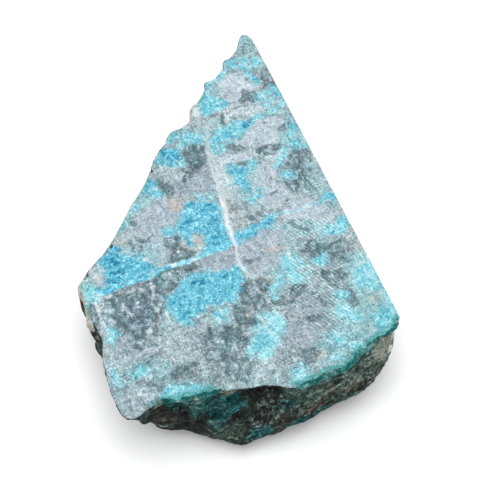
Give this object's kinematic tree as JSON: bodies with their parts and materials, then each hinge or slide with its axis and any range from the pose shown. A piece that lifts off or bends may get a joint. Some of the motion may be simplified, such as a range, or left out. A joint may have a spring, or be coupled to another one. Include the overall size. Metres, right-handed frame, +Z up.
{
  "type": "chrysocolla rock specimen",
  "caption": "Rough chrysocolla rock lying on its broken back, pointed at one end, with a wide sawn face on top and one long sawn side.",
  "frame": {"origin": "middle of the box in plan, on the surface the stone lies on", "axes": "+Y along the length towards the pointed end, +X to the right, +Z up out of the sawn face"},
  "size_m": [0.0754, 0.11, 0.0248],
  "materials": {
    "chrysocolla_rock": "sawn dull on the face, broken and weathered on the walls"
  },
  "bodies": {
    "root": {"chrysocolla_stone": "chrysocolla_rock"}
  },
  "joints": []
}
